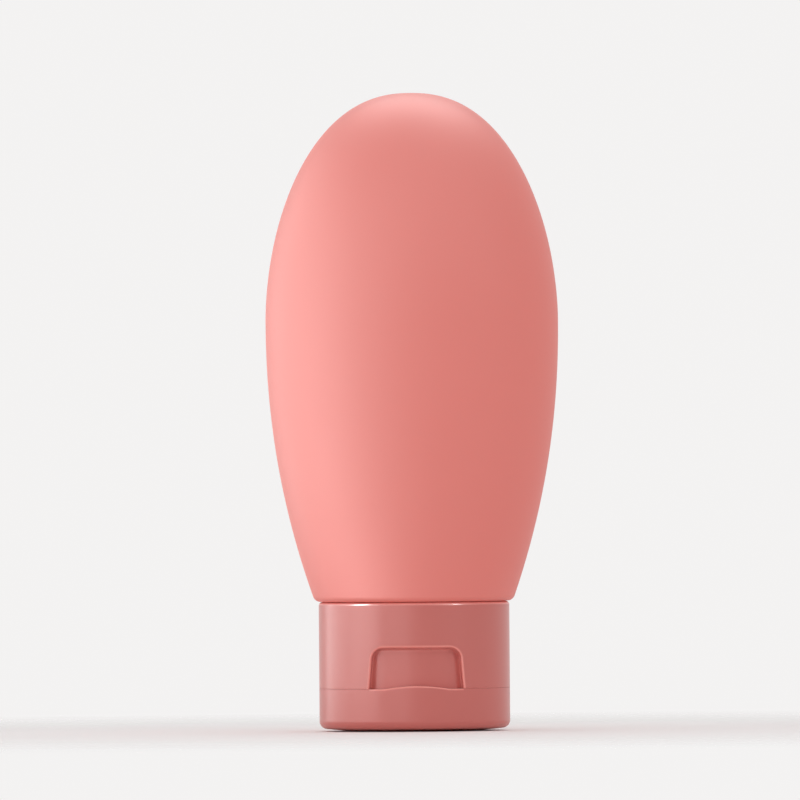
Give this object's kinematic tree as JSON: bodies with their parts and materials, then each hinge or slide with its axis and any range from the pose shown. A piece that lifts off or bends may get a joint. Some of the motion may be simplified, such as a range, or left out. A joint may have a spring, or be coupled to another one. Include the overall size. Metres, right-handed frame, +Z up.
{
  "type": "travel squeeze bottle",
  "caption": "Soft egg-shaped travel squeeze bottle that stands upside down on its screw cap, with a flip lid, a thumb recess and a small pouring nozzle.",
  "frame": {"origin": "centre of the lid's flat end on the surface that the bottle stands on, under the axis of the neck", "axes": "+Z up along the neck's axis towards the rounded end of the body, -Y towards the front with the thumb recess, X across the wide front"},
  "size_m": [0.0482, 0.0348, 0.105],
  "materials": {
    "soft_body": "soft, matte, blow-moulded polyethylene in salmon pink",
    "cap": "smooth injection-moulded polypropylene in a slightly darker pink, with a soft gloss",
    "washer": "white foamed polyethylene liner"
  },
  "bodies": {
    "bottle": {"bottle": "soft_body"},
    "seal": {"sealing_washer": "washer"},
    "cap": {"cap_base": "cap"},
    "lid": {"lid": "cap", "living_hinge": "cap"}
  },
  "joints": [
    {"name": "cap_lift", "type": "slide", "parent": "bottle", "child": "seal", "axis": [0, 0, -1], "range_m": [0, 0.00375]},
    {"name": "cap_turn", "type": "hinge", "parent": "seal", "child": "cap", "pos_m": [0, 0, 0.01], "axis": [0, 0, -1], "range_deg": [0, 450]},
    {"name": "lid_flip", "type": "hinge", "parent": "cap", "child": "lid", "pos_m": [0, 0.0152, 0.00698], "axis": [1, 0, 0], "range_deg": [0, 150], "deforming": ["living_hinge"]}
  ],
  "couplings": [
    {"joint": "cap_lift", "follows": "cap_turn", "m_per_rad": 0.00047746}
  ]
}
